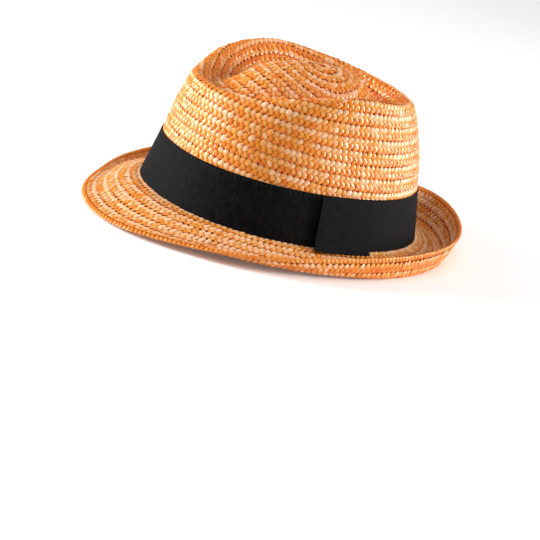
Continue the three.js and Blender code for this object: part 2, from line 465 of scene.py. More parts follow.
def model_straw(cut: StrawCut) -> tuple[Array, list[tuple[int, ...]]]:
    """Models one straw: a grid for its back, crowned point by point, closed below by one face.

    Args:
        cut: The straw's stations and crown.

    Returns:
        The points, as a share along, a share across and a share of the rise, and the faces.
    """
    leave_edit_mode()
    along, across = len(cut.lifts), len(cut.crown)
    bpy.ops.mesh.primitive_grid_add(x_subdivisions=along - 1, y_subdivisions=across - 1, size=1)
    blank = bpy.context.object
    bpy.ops.object.mode_set(mode="EDIT")
    bpy.ops.mesh.select_all(action="DESELECT")
    bpy.ops.mesh.select_mode(type="EDGE")
    bpy.ops.mesh.select_non_manifold(extend=False)
    bpy.ops.mesh.edge_face_add()
    bpy.ops.object.mode_set(mode="OBJECT")
    points = []
    for vertex in blank.data.vertices:
        i = int(round((vertex.co.x + 0.5) * (along - 1)))
        j = int(round((vertex.co.y + 0.5) * (across - 1)))
        points.append((i / (along - 1) - 0.5, vertex.co.y * cut.widths[i], cut.lifts[i] * cut.crown[j]))
    faces = [tuple(face.vertices) for face in blank.data.polygons]
    mesh = blank.data
    bpy.data.objects.remove(blank)
    bpy.data.meshes.remove(mesh)
    return np.array(points), faces


@dataclass
class LaidStraws:
    """Copies of one straw, laid in their places.

    Attributes:
        points: Points of every copy, in metres.
        faces: Faces of one copy, by point number.
        grain: Place of every point in the grain, in millimetres.
        tones: How pale each copy is.
        crest: Height of each point of one copy, as a share of its rise.
    """

    points: Array
    faces: list[tuple[int, ...]]
    grain: Array
    tones: Array
    crest: Array


def grain_places(aside: Array, forward: Array, draw: np.random.Generator) -> Array:
    """Gives every straw its own place in the grain.

    Args:
        aside: Distance of each point across its straw, in millimetres.
        forward: Distance of each point along it.
        draw: The random draws.

    Returns:
        A place for each point.
    """
    reach = 400
    return np.stack([way + draw.uniform(0, reach, (len(way), 1)) for way in (aside, forward)], -1)


def join_straws(name: str, laid: Sequence[LaidStraws], flip: bool) -> Piece:
    """Makes one mesh of many straws, with their grain, tone and crest written on it.

    Args:
        name: The piece's name.
        laid: The straws, one kind after another.
        flip: True where the straws hang under their surface, so that their faces are turned over.

    Returns:
        The joined piece.
    """
    blocks, tones, crests, count = [], [], [], 0
    for kind in laid:
        number, size = kind.points.shape[:2]
        starts = count + np.arange(number) * size
        blocks += [starts[:, None] + np.array(face[::-1] if flip else face)[None] for face in kind.faces]
        tones.append(np.repeat(kind.tones, size))
        crests.append(np.tile(kind.crest, number))
        count += number * size
    points = np.concatenate([kind.points.reshape(-1, 3) for kind in laid])
    places = np.concatenate([kind.grain.reshape(-1, 2) for kind in laid])
    loop_points = np.concatenate([block.reshape(-1) for block in blocks]).astype(np.int32)
    face_sizes = np.concatenate([np.full(len(block), block.shape[1]) for block in blocks])
    starts = np.concatenate([[0], np.cumsum(face_sizes)[:-1]]).astype(np.int32)
    mesh = bpy.data.meshes.new(name)
    mesh.vertices.add(len(points))
    mesh.vertices.foreach_set("co", points.astype(np.float32).ravel())
    mesh.loops.add(len(loop_points))
    mesh.loops.foreach_set("vertex_index", loop_points)
    mesh.polygons.add(len(starts))
    mesh.polygons.foreach_set("loop_start", starts)
    mesh.polygons.foreach_set("use_smooth", face_sizes == 4)
    grain = mesh.uv_layers.new(name="grain")
    grain.data.foreach_set("uv", places[loop_points].astype(np.float32).ravel())
    for mark, values in (("tone", tones), ("crest", crests)):
        data = mesh.attributes.new(mark, "FLOAT", "POINT").data
        data.foreach_set("value", np.concatenate(values).astype(np.float32))
    mesh.update(calc_edges=True)
    mesh.validate()
    piece = bpy.data.objects.new(name, mesh)
    bpy.context.scene.collection.objects.link(piece)
    leave_edit_mode()
    piece.select_set(True)
    bpy.context.view_layer.objects.active = piece
    bpy.ops.object.shade_smooth_by_angle(angle=math.radians(75))
    return piece


def everywhere(turn: Array, share: Array) -> Array:
    """Fills every seat."""
    return np.full(turn.shape, True)


def even_tint(amount: float) -> Reading:
    """Shifts the tone of all the straws of a layer by one amount, lighter or darker; the brim uses it for
    painted light and painted shade.
    """
    return lambda turn, share: np.full_like(turn, amount)


def no_press(turn: Array, share: Array, lift: Array) -> Array:
    """Leaves the straws as high as they lie."""
    return lift


@dataclass
class StrawLayer:
    """Straws laid along rows of braid and joined in one mesh.

    Attributes:
        rows: The rows that the straws lie along.
        cuts: The kinds of straw in each spacing.
        side: The face that they lie on.
        bed: Height of the straw bed over the surface, in millimetres, at a place across the row.
        seed: Number that starts the random draws.
        last: Number of rows to fill.
        spacing: Distance from one straw to the next along the row, in millimetres.
        wall: Thickness between the surface and the inside bed, in millimetres.
        mirrored: True where the straws slant the other way along the rows.
        keep: Tells which seats are filled, by angle and share of the section.
        tint: Gives how much lighter a straw's tone is at an angle and share than its cut, which carries
            painted light and painted shade.
        press: Gives the lift of points by angle and share, from their free lift.
    """

    # Rows from the tip within which no straw is seated, and within which no point of one lies.
    FIRST_ROW, TIP_ROW = 0.12, 0.01
    # Least metres for each radian, so that straws don't wind round the tip.
    SLOWEST = 1.5 * MM
    # Width of a row on which a straw has its cut length, how far it may fit itself to other
    # widths, and the share of its length that doesn't.
    USUAL_PITCH, FIT_RANGE, FIXED_LENGTH = 8.8 * MM, (0.6, 1.3), 0.35
    # How far a straw is set into its bed, outside and inside, in millimetres.
    SINK, INSIDE_SINK = 0.12, 0.1
    # Share of the rise above which a straw tilts, and how far it does.
    LOOSE_ABOVE, TILT_REACH = 0.1, 0.25
    DEEPEST, PALEST = -0.5, 1

    rows: BraidRows
    cuts: tuple[StrawCut, ...]
    side: Side
    bed: Callable[[Array], Array]
    seed: int
    last: float
    spacing: float = 4.2
    wall: float = 0.0
    mirrored: bool = False
    keep: Reading = everywhere
    tint: Reading = even_tint(0.0)
    press: Callable[[Array, Array, Array], Array] = no_press

    def build(self, name: str) -> Piece:
        """Lays every straw and joins them.

        Args:
            name: The piece's name.

        Returns:
            The joined piece.
        """
        draw = np.random.default_rng(self.seed)
        return join_straws(name, [self._lay(cut, draw) for cut in self.cuts], self.side is Side.INSIDE)

    def _lay(self, cut: StrawCut, draw: np.random.Generator) -> LaidStraws:
        """Places copies of one straw on the surface, each with small differences.

        Args:
            cut: The straw.
            draw: The random draws.

        Returns:
            The laid straws.
        """
        blank, faces = model_straw(cut)
        rows, surface = self.rows, self.rows.surface
        turn, ring = rows.seats(self.spacing * MM, self.last)
        rate = surface.rate(turn, rows.share(turn, rows.row(turn, rows.MIDDLE, ring)))
        turn = turn + cut.shift * self.spacing * MM / np.maximum(rate, 0.1 * MM)
        row = rows.row(turn, cut.across, ring)
        kept = self.keep(turn, rows.share(turn, row)) & (row > self.FIRST_ROW)
        turn, ring, row = (values[kept][:, None] for values in (turn, ring, row))
        share = rows.share(turn, row)

        def vary(spread: float) -> Array:
            """Draws a small difference for each straw."""
            return draw.normal(0, spread, turn.shape)

        pitch = rows.pitch(turn)
        fit = np.clip(pitch / self.USUAL_PITCH, *self.FIT_RANGE)
        slant = np.radians(cut.slant + vary(3.5))
        length = cut.length * MM * (1 + vary(0.07)) * (self.FIXED_LENGTH + (1 - self.FIXED_LENGTH) * fit)
        width = cut.width * MM * (1 + vary(0.06))
        rise = cut.rise * MM * (1 + vary(0.14))
        tilt = vary(0.1)
        a, b, h = blank.T[:, None]
        forward, aside = a * length, b * width
        cosine, sine = (-1 if self.mirrored else 1) * np.cos(slant), np.sin(slant)
        ahead = forward * cosine + aside * sine
        angles = turn + ahead / np.maximum(surface.rate(turn, share), self.SLOWEST)
        across = cut.across + (aside * cosine - forward * sine) / pitch
        shares = rows.share(angles, np.maximum(rows.row(angles, across, ring), self.TIP_ROW))
        base = self.bed(np.clip(across, 0, 1)) * MM
        if self.side is Side.INSIDE:
            lift = base - self.wall * MM + self.INSIDE_SINK * MM - h * rise
        else:
            lift = base - self.SINK * MM + (h + self.TILT_REACH * tilt * a * (h > self.LOOSE_ABOVE)) * rise
        placed = surface.place(angles, shares, self.press(angles, shares, lift))
        placed[..., 2] = np.maximum(placed[..., 2], FLOOR_GAP)
        grain = grain_places(aside / MM, forward / MM, draw)
        tones = np.clip(cut.brightness + self.tint(turn, share) + vary(0.17), self.DEEPEST, self.PALEST)
        return LaidStraws(placed, faces, grain, tones[:, 0], blank[:, 2])


# Finishes.


class NodeSheet:
    """Shader nodes of one material or group.

    Attributes:
        tree: The tree that they stand in.
    """

    def __init__(self, tree: bpy.types.NodeTree) -> None:
        """Takes up a tree."""
        self.tree = tree

    def node(self, kind: str, values: dict, feeds: dict, **settings: object) -> bpy.types.Node:
        """Adds a node.

        Args:
            kind: The node's type.
            values: Constants by input.
            feeds: Sockets by the input that each one feeds.
            settings: The node's own settings.

        Returns:
            The node.
        """
        node = self.tree.nodes.new("ShaderNode" + kind)
        for setting, value in settings.items():
            setattr(node, setting, value)
        for entry, value in values.items():
            node.inputs[entry].default_value = value
        for entry, source in feeds.items():
            self.tree.links.new(source, node.inputs[entry])
        return node

    def noise(self, vector: Socket, scale: float, detail: float) -> Socket:
        """Adds a noise texture."""
        return self.node("TexNoise", {"Scale": scale, "Detail": detail}, {"Vector": vector}).outputs["Fac"]

    def stretched(self, vector: Socket, scale: Colour) -> Socket:
        """Scales a vector along each axis."""
        return self.node("Mapping", {"Scale": scale}, {"Vector": vector}).outputs["Vector"]

    def weighed(self, value: Socket, weight: float, rest: Socket) -> Socket:
        """Adds a weighed value to the rest."""
        return self.node("Math", {1: weight}, {0: value, 2: rest}, operation="MULTIPLY_ADD").outputs[0]


class Finish(NodeSheet):
    """A material of nodes round one Principled shader.

    Attributes:
        material: The material.
        shader: Its shader.
    """

    def __init__(self, name: str, **constants: float | tuple[float, ...]) -> None:
        """Starts the material.

        Args:
            name: The material's name.
            constants: Values set on the shader's own sockets, by name, with underscores for spaces.
        """
        self.material = bpy.data.materials.new(name)
        self.material.use_nodes = True
        super().__init__(self.material.node_tree)
        self.tree.nodes.clear()
        values = {socket.replace("_", " "): value for socket, value in constants.items()}
        self.shader = self.node("BsdfPrincipled", values, {})
        self.node("OutputMaterial", {}, {"Surface": self.shader.outputs["BSDF"]})

    def place(self) -> Socket:
        """Gives the place on the object."""
        return self.node("TexCoord", {}, {}).outputs["Object"]

    def mark(self, name: str) -> Socket:
        """Reads a value written on the piece."""
        return self.node("Attribute", {}, {}, attribute_name=name).outputs["Fac"]

    def colour(self, level: Socket, *stops: tuple[float, Colour]) -> None:
        """Colours the shader by a level.

        Args:
            level: The level.
            stops: Colours, each with the level at which it stands.
        """
        ramp = self.node("ValToRGB", {}, {"Fac": level})
        elements = ramp.color_ramp.elements
        while len(elements) < len(stops):
            elements.new(0.5)
        for element, (position, shade) in zip(elements, stops):
            element.position = position
            element.color = (*shade, 1.0)
        self.tree.links.new(ramp.outputs["Color"], self.shader.inputs["Base Color"])

    def skin(
        self, gloss: Socket, rough: tuple[float, float], relief: Socket, strength: float, depth: float
    ) -> None:
        """Varies the roughness and raises a fine relief.

        Args:
            gloss: The value that the roughness follows.
            rough: Its lowest and highest roughness.
            relief: The value that the relief follows.
            strength: Strength of the relief, from 0 to 1.
            depth: Its depth, in metres.
        """
        spread = self.node("MapRange", {"To Min": rough[0], "To Max": rough[1]}, {"Value": gloss})
        self.tree.links.new(spread.outputs["Result"], self.shader.inputs["Roughness"])
        bump = self.node("Bump", {"Strength": strength, "Distance": depth}, {"Height": relief})
        self.tree.links.new(bump.outputs["Normal"], self.shader.inputs["Normal"])


def grain_group() -> bpy.types.NodeTree:
    """Builds the straw grain: fine streaks along the straw and broader blotches.

    Returns:
        The group, which reads a place in the grain.
    """
    group = bpy.data.node_groups.new("straw_grain", "ShaderNodeTree")
    group.interface.new_socket("Grain", in_out="INPUT", socket_type="NodeSocketVector")
    for name in ("Streak", "Blotch"):
        group.interface.new_socket(name, in_out="OUTPUT", socket_type="NodeSocketFloat")
    sheet = NodeSheet(group)
    grain = group.nodes.new("NodeGroupInput").outputs["Grain"]
    leaving = group.nodes.new("NodeGroupOutput").inputs
    streak = sheet.noise(sheet.stretched(grain, (2.6, 0.16, 1.0)), 1.0, 2.0)
    blotch = sheet.noise(grain, 0.35, 2.0)
    group.links.new(streak, leaving["Streak"])
    group.links.new(blotch, leaving["Blotch"])
    return group


@dataclass(frozen=True)
class StrawFinish:
    """Glossy split straw, from deep orange to pale wheat.

    Attributes:
        name: The material's name.
        deep: Colour of the darkest straws.
        mid: Colour of most straws.
        pale: Colour of the palest straws.
        coat: Weight of the gloss.
        foot: Painted shade: how much darker the colour is made along a straw's low edges and ends, where it
            dips under its neighbours, than on its back.
        back: How much darker it is on its back than the straw's own tone.
    """

    name: str
    deep: Colour
    mid: Colour
    pale: Colour
    coat: float
    foot: float = 0.55
    back: float = 0.45

    def material(self, group: bpy.types.NodeTree) -> bpy.types.Material:
        """Builds the material.

        Args:
            group: The shared straw grain.

        Returns:
            The material.
        """
        finish = Finish(self.name, Coat_Weight=self.coat, Coat_Roughness=0.16, Specular_IOR_Level=0.08)
        grain = finish.node("UVMap", {}, {}, uv_map="grain").outputs["UV"]
        streaks = finish.node("Group", {}, {}, node_tree=group)
        finish.tree.links.new(grain, streaks.inputs["Grain"])
        streak, blotch = streaks.outputs["Streak"], streaks.outputs["Blotch"]
        tone = finish.weighed(blotch, 0.35, finish.weighed(streak, 0.55, finish.mark("tone")))
        # Painted shade: the colour darkens where the crest share is low, along a straw's edges and ends where
        # it sinks under its neighbours.
        height = {"From Max": 0.85, "To Min": -self.back - self.foot, "To Max": -self.back}
        edge = finish.node("MapRange", height, {"Value": finish.mark("crest")}).outputs["Result"]
        level = finish.node("Math", {}, {0: tone, 1: edge}, operation="ADD").outputs[0]
        finish.colour(level, (0.08, self.deep), (0.5, self.mid), (0.95, self.pale))
        finish.skin(streak, (0.28, 0.46), streak, 0.35, 0.15 * MM)
        return finish.material


@dataclass(frozen=True)
class BedFinish:
    """The straw under the braid, the lower straws that show in its gaps, coloured dark red as painted shade.

    Attributes:
        name: The material's name.
        dark: Darker colour of the painted shade, in noise patches.
        light: Lighter colour of the painted shade, in the other patches.
    """

    name: str
    dark: Colour
    light: Colour

    def material(self) -> bpy.types.Material:
        """Builds the material.

        Returns:
            The material.
        """
        finish = Finish(self.name, Specular_IOR_Level=0.1)
        patches = finish.noise(finish.place(), 260.0, 4.0)
        finish.colour(patches, (0.35, self.dark), (0.65, self.light))
        finish.skin(patches, (0.55, 0.75), patches, 0.4, 0.2 * MM)
        return finish.material


@dataclass(frozen=True)
class GrosgrainFinish:
    """Matte black ribbed ribbon.

    Attributes:
        name: The material's name.
        dark: Colour of the ribbon.
        light: Colour of its lightest threads.
        sheen: Weight of the soft sheen at grazing angles.
        run: How often the weave changes along X, Y and Z: little along its ribs.
    """

    name: str
    dark: Colour = (0.0006, 0.0006, 0.0008)
    light: Colour = (0.006, 0.006, 0.007)
    sheen: float = 0.02
    run: Colour = (1.0, 1.0, 0.12)

    def material(self) -> bpy.types.Material:
        """Builds the material.

        Returns:
            The material.
        """
        finish = Finish(self.name, Sheen_Weight=self.sheen, Sheen_Roughness=0.5, Specular_IOR_Level=0.08)
        place = finish.place()
        weave = finish.noise(finish.stretched(place, self.run), 620.0, 3.0)
        mixed = finish.weighed(finish.noise(place, 260.0, 3.0), 0.45, weave)
        finish.colour(mixed, (0.58, self.dark), (0.9, self.light))
        finish.skin(weave, (0.6, 0.85), mixed, 0.6, 0.3 * MM)
        return finish.material


class Finishes:
    """The hat's materials, each built once.

    Attributes:
        straw: The outer straw.
        lining: The straw inside the crown.
        shade: The straw bed in the gaps, coloured as painted shade.
        cloth: The ribbon.
        bow_cloth: The bow, whose ribs run round the hat.
        thread: The stitches.
    """

    def __init__(self) -> None:
        """Builds the materials."""
        grain = grain_group()
        self.straw = StrawFinish(
            "straw", (0.74, 0.15, 0.002), (0.79, 0.285, 0.026), (0.89, 0.505, 0.28), 0.8,
        ).material(grain)
        self.lining = StrawFinish(
            "straw_lining", (0.42, 0.10, 0.015), (0.62, 0.22, 0.05), (0.76, 0.40, 0.16), 0.2,
        ).material(grain)
        # The bed stands for the lower straws; its dark red colour is painted shade for the gaps of the braid.
        self.shade = BedFinish("straw_shade", (0.34, 0.03, 0.0005), (0.62, 0.08, 0.001)).material()
        self.cloth = GrosgrainFinish("grosgrain").material()
        self.bow_cloth = GrosgrainFinish("grosgrain_bow", sheen=0.01, run=(0.1, 0.1, 1.0)).material()
        self.thread = GrosgrainFinish(
            "thread", (0.010, 0.010, 0.011), (0.022, 0.022, 0.024), 0.05,
        ).material()


def dress(piece: Piece, material: bpy.types.Material, nodes: Sequence[str] = ()) -> Piece:
    """Gives a piece its material and its body, and hides the CAD nodes that it stands for.

    Args:
        piece: The finished piece.
        material: Its finish.
        nodes: CAD nodes that the piece replaces.

    Returns:
        The piece.
    """
    piece.data.materials.clear()
    piece.data.materials.append(material)
    if nodes:
        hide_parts(*nodes)
    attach(piece, "root")
    LOG.info("%s: %d faces", piece.name, len(piece.data.polygons))
    return piece


# Walls and sheets modelled as grids.


def model_sheet(name: str, columns: int, rows: int, place: Reading, wall: float, turned: bool) -> Piece:
    """Models a closed wall: a grid laid over the form, joined at its seam and given a thickness.

    Args:
        name: The piece's name.
        columns: Faces along the grid's X.
        rows: Faces along its Y.
        place: Gives a point for each share along X and each share along Y.
        wall: Thickness, in millimetres, built inwards.
        turned: True where the grid's faces come out looking inwards, and are flipped.

    Returns:
        The piece, at the origin, with its place in its mesh.
    """
    merge = 0.004 * MM
    leave_edit_mode()
    bpy.ops.mesh.primitive_grid_add(x_subdivisions=columns, y_subdivisions=rows, size=1)
    piece = bpy.context.object
    piece.name = piece.data.name = name
    flat = np.empty(len(piece.data.vertices) * 3, np.float32)
    piece.data.vertices.foreach_get("co", flat)
    flat = flat.reshape(-1, 3).astype(float)
    points = place(flat[:, 0] + 0.5, flat[:, 1] + 0.5)
    piece.data.vertices.foreach_set("co", points.astype(np.float32).ravel())
    piece.data.update()
    bpy.ops.object.mode_set(mode="EDIT")
    bpy.ops.mesh.select_all(action="SELECT")
    bpy.ops.mesh.remove_doubles(threshold=merge)
    bpy.ops.mesh.select_all(action="SELECT")
    bpy.ops.mesh.dissolve_degenerate(threshold=merge / 2)
    bpy.ops.mesh.select_all(action="SELECT")
    if turned:
        bpy.ops.mesh.flip_normals()
    bpy.ops.mesh.select_all(action="DESELECT")
    bpy.ops.object.mode_set(mode="OBJECT")
    if wall:
        solid = piece.modifiers.new("wall", "SOLIDIFY")
        solid.thickness = wall * MM
        solid.offset = -1
        bpy.ops.object.modifier_apply(modifier=solid.name)
    for vertex in piece.data.vertices:
        vertex.co.z = max(vertex.co.z, FLOOR_GAP)
    bpy.ops.object.shade_smooth_by_angle(angle=math.radians(35))
    return piece


# Places across a row at which the bed has points. It drops behind the last.
ROW_STEPS = (0.0, 0.12, 0.6, 0.97)


def bed_height(across: Array) -> Array:
    """Gives the straw bed's height over the surface across a row, in millimetres."""
    return -1.05 + 1.0 * across


@dataclass
class Crown:
    """The crown: a spiral of braid from the tip to under the ribbon.

    Attributes:
        surface: The crown's outer face.
        counts: Rows across the section at each station.
        columns: Faces of the bed round the hat.
        wall: Thickness of the bed, in millimetres.
        top_rows: Turns of the spiral that belong to the crown's top.
        tuck: Share of the section that the straws run on under the ribbon.
        cover: Share of the section above the ribbon's edge from which they are pressed flat.
        pressed: Height of the pressed straws, in millimetres.
        painted_light: Painted light on the top's straws: how much lighter their tone is made than the wall's.
        painted_shade: Painted shade in the groove: how much darker the straws there are made than the rest of
            the top.
    """

    surface: Surface
    counts: tuple[float, ...] = (22.4, 22.3, 21.6, 20.9, 20.9, 21.1, 21.3)
    columns: int = 220
    wall: float = 1.1
    top_rows: float = 11.0
    tuck: float = 0.022
    cover: float = 0.002
    pressed: float = 0.1
    # Painted light on the top and painted shade in the groove, as shifts of the straws' tone.
    painted_light: float = 0.06
    painted_shade: float = 0.22

    def make(self, finishes: Finishes) -> None:
        """Builds and dresses the bed, the outer braid and the lining.

        Args:
            finishes: The hat's materials.
        """
        dress(self.bed(), finishes.shade, ["crown_wall", "crown_top"])
        for piece in self.straws():
            dress(piece, finishes.straw)
        dress(self.lining(), finishes.lining)

    def rows(self) -> BraidRows:
        """Gives the crown's rows of braid."""
        return BraidRows(self.surface, self.counts, True, True)

    def last_row(self) -> float:
        """Gives the number of rows that reach the headline everywhere."""
        return max(self.counts) + 0.2

    def bed(self) -> Piece:
        """Models the crown's closed wall, stepped where one row laps over the next.

        Returns:
            The bed.
        """
        rows = self.rows()
        whole = int(math.ceil(self.last_row())) + 1
        stops = np.array([k + s for k in range(-1, whole) for s in ROW_STEPS] + [whole])

        def place(x: Array, y: Array) -> Array:
            """Winds the grid's rows down the spiral.

            Args:
                x: Shares along the grid's X, round the hat.
                y: Shares along its Y.

            Returns:
                The points, in metres.
            """
            turn = x * FULL_TURN
            stop = stops[np.clip(np.rint(y * (len(stops) - 1)).astype(int), 0, len(stops) - 1)]
            row = np.clip(stop + x, 0, station_value(self.counts, turn))
            lift = bed_height(np.mod(stop, 1)) * MM
            return self.surface.place(turn, rows.share(turn, row), lift)

        return model_sheet("crown_bed", self.columns, len(stops) - 1, place, self.wall, True)

    def above_ribbon(self, turn: Array, share: Array) -> Array:
        """Tells which seats are above the ribbon's top edge, or just under it."""
        return share > self.surface.oval_share(RIBBON_TOP, turn) - self.tuck

    def under_ribbon(self, turn: Array, share: Array, lift: Array) -> Array:
        """Presses the straws flat where the ribbon covers them."""
        covered = share < self.surface.oval_share(RIBBON_TOP, turn) + self.cover
        return np.where(covered, np.minimum(lift, self.pressed * MM), lift)

    def painted_shade_in_trough(self, turn: Array, share: Array) -> Array:
        """Shifts the tone of the top's straws: painted light over the top, and painted shade in the groove
        between the crest and its floor.

        Args:
            turn: Angles round the hat.
            share: Shares of the section's length.

        Returns:
            How much lighter each straw's tone is made; below zero where the painted shade outweighs the
            painted light.
        """
        crest, trough = (self.surface.oval_share(oval, turn) for oval in (CREST, TROUGH))
        middle, reach = 0.4 * crest + 0.6 * trough, 0.55 * (trough - crest)
        # Painted shade: a band of darker tone round the groove, where it lies in shade, under the painted
        # light of the top.
        return self.painted_light - self.painted_shade * np.exp(-(((share - middle) / reach) ** 2))

    def straws(self) -> list[Piece]:
        """Lays the outer braid, in a wall part and a top part.

        Returns:
            The two pieces.
        """
        end = self.top_rows * FULL_TURN

        def wall_part(turn: Array, share: Array) -> Array:
            """Tells which seats belong to the wall."""
            return self.above_ribbon(turn, share) & (turn > end)

        def top_part(turn: Array, share: Array) -> Array:
            """Tells which seats belong to the top."""
            return self.above_ribbon(turn, share) & (turn <= end)

        # The top's straws get painted light, and painted shade in the groove.
        return [
            StrawLayer(
                self.rows(), OUTER_STRAWS, Side.OUTSIDE, bed_height, seed, self.last_row(),
                keep=part, tint=tint, press=self.under_ribbon,
            ).build(name)
            for name, part, seed, tint in (
                ("crown_braid_wall", wall_part, 11, even_tint(0.0)),
                ("crown_braid_top", top_part, 12, self.painted_shade_in_trough),
            )
        ]

    def lining(self) -> Piece:
        """Lays the inner face of the braid.

        Returns:
            The lining.
        """

        def above_headline(turn: Array, share: Array) -> Array:
            """Tells which seats are clear of the headline."""
            return share > 0.02

        return StrawLayer(
            self.rows(), LINING_STRAWS, Side.INSIDE, bed_height, 31, self.last_row(),
            wall=self.wall, keep=above_headline,
        ).build("crown_braid_inside")


@dataclass
class Brim:
    """The brim: rings of braid from the headline to the rolled rim.

    Attributes:
        surface: The brim's mid-surface, facing up.
        rings: Rows of braid across the brim.
        columns: Faces of the bed round the hat.
        wall: Thickness of the bed, in millimetres.
        face: Height of the brim's upper face over the mid-surface, in millimetres.
        painted_light: Painted light on the straws on top: how much lighter their tone is made.
        painted_shade: Painted shade on the straws underneath: how much darker their tone is made.
    """

    surface: Surface
    rings: int = 5
    columns: int = 240
    wall: float = 1.0
    face: float = 1.0
    # Painted light on the top's straws and painted shade on those underneath, as shifts of their tone.
    painted_light: float = 0.2
    painted_shade: float = 0.12

    def make(self, finishes: Finishes) -> None:
        """Builds and dresses the bed and the braid on both faces.

        Args:
            finishes: The hat's materials.
        """
        dress(self.bed(), finishes.shade, ["brim"])
        for piece in self.straws():
            dress(piece, finishes.straw)

    def rows(self, from_rim: bool) -> BraidRows:
        """Gives the rows of braid, counted from the headline or from the rim."""
        return BraidRows(self.surface, (float(self.rings),) * 7, False, from_rim)

    def top_height(self, across: Array) -> Array:
        """Gives the bed's height over the mid-surface across a row, in millimetres."""
        return bed_height(across) + self.face

    def under_height(self, across: Array) -> Array:
        """Gives the same height where rows are counted from the rim."""
        return bed_height(1 - across) + self.face

    def bed(self) -> Piece:
        """Models the brim's closed wall.

        Returns:
            The bed.
        """
        rows = self.rows(False)
        stops = np.array([k + s for k in range(self.rings) for s in ROW_STEPS] + [self.rings])

        def place(x: Array, y: Array) -> Array:
            """Steps the grid's rows out over the brim.

            Args:
                x: Shares along the grid's X, round the hat.
                y: Shares along its Y.

            Returns:
                The points, in metres.
            """
            turn = x * FULL_TURN
            index = np.clip(np.rint(y * (len(stops) - 1)).astype(int), 0, len(stops) - 1)
            stop = stops[index]
            across = np.where(index == len(stops) - 1, ROW_STEPS[-1], np.mod(stop, 1))
            return self.surface.place(turn, rows.share(turn, stop), self.top_height(across) * MM)

        return model_sheet("brim_bed", self.columns, len(stops) - 1, place, self.wall, True)

    def straws(self) -> list[Piece]:
        """Lays the braid on the brim's top and on its underside.

        Returns:
            The two pieces.
        """
        # The top's straws get painted light, those underneath painted shade.
        top = StrawLayer(
            self.rows(False), OUTER_STRAWS, Side.OUTSIDE, self.top_height, 51, self.rings,
            tint=even_tint(self.painted_light),
        )
        under = StrawLayer(
            self.rows(True), OUTER_STRAWS, Side.INSIDE, self.under_height, 61, self.rings,
            wall=self.wall, mirrored=True, tint=even_tint(-self.painted_shade),
        )
        return [top.build("brim_braid_top"), under.build("brim_braid_under")]


@dataclass
class RolledRim:
    """The brim's edge: the last row of braid, pressed into a flat lip. Sizes are in millimetres.

    Attributes:
        surface: The brim's mid-surface, facing up.
        middle: Distance from the brim's edge to the lip's middle.
        reach: Half the lip's width.
        thick: Half the lip's thickness.
        spacing: Distance from one straw to the next round the lip.
        winds: Places round the lip's section at which its straws lie, as angles from the inner side.
        columns: Faces of the bed round the hat.
        sides: Faces round its section.
    """

    surface: Surface
    middle: float = 1.45
    reach: float = 1.6
    thick: float = 0.75
    spacing: float = 3.1
    winds: tuple[float, ...] = (0.55, 2.35, 4.3)
    columns: int = 300
    sides: int = 10

    def make(self, finishes: Finishes) -> None:
        """Builds and dresses the lip and its straws."""
        dress(self.bed(), finishes.shade, ["brim_rim"])
        dress(self.straws(), finishes.straw)

    def section(self, turn: Array, spin: Array, lift: Array) -> Array:
        """Gives points round the lip.

        Args:
            turn: Angles round the hat.
            spin: Angles round the lip's section, from its inner side over the top.
            lift: Height over the lip's own skin, in millimetres.

        Returns:
            The points, in metres.
        """
        ones, flat = np.ones_like(turn), np.zeros_like(turn)
        edge = self.surface.place(turn, ones, flat)
        out = edge - self.surface.place(turn, ones * 0.98, flat)
        out /= np.linalg.norm(out, axis=-1, keepdims=True)
        up = self.surface.read(self.surface.normals, turn, ones)
        up /= np.linalg.norm(up, axis=-1, keepdims=True)
        outward = self.middle - np.cos(spin) * (self.reach + lift)
        raised = np.sin(spin) * (self.thick + lift)
        points = edge + out * (outward * MM)[..., None] + up * (raised * MM)[..., None]
        points[..., 2] = np.maximum(points[..., 2], FLOOR_GAP)
        return points

    def bed(self) -> Piece:
        """Models the lip: a tube closed round the brim.

        Returns:
            The bed.
        """

        def place(x: Array, y: Array) -> Array:
            """Rolls the grid round the lip."""
            return self.section(x * FULL_TURN, y * FULL_TURN, np.zeros_like(x))

        return model_sheet("rim_bed", self.columns, self.sides, place, 0.0, True)

    def straws(self) -> Piece:
        """Winds short straws round the lip.

        Returns:
            The joined straws.
        """
        cut, lean_over, sink = RIM_STRAW, 0.7, 0.1
        blank, faces = model_straw(cut)
        a, b, h = blank.T[:, None]
        draw = np.random.default_rng(71)
        turns = np.linspace(0, FULL_TURN, RING_POINTS)
        run = run_along(self.section(turns, np.zeros_like(turns), np.zeros_like(turns)))
        number = int(round(run[-1] / (self.spacing * MM)))
        rate = run[-1] / FULL_TURN / MM
        half = (self.reach + self.thick) / 2

        def vary(spread: float) -> Array:
            """Draws a small difference for each straw."""
            return draw.normal(0, spread, (number, 1))

        points, grains, tones = [], [], []
        for wind in self.winds:
            stop = (np.arange(number) + draw.uniform(0, 1)) % number * run[-1] / number
            turn = np.interp(stop, run, turns)[:, None]
            forward = a * (cut.length * (1 + vary(0.05)))
            aside = b * (cut.width * (1 + vary(0.05)))
            spin = wind + vary(0.05) + forward / half
            angles = turn + (aside + lean_over * forward) / rate
            points.append(self.section(angles, spin, h * cut.rise * (1 + vary(0.1)) - sink))
            grains.append(grain_places(aside, forward, draw))
            tones.append(np.clip(cut.brightness + draw.normal(0, 0.12, number), 0, 1))
        points, grains, tones = (np.concatenate(parts) for parts in (points, grains, tones))
        return join_straws("rim_braid", [LaidStraws(points, faces, grains, tones, blank[:, 2])], True)


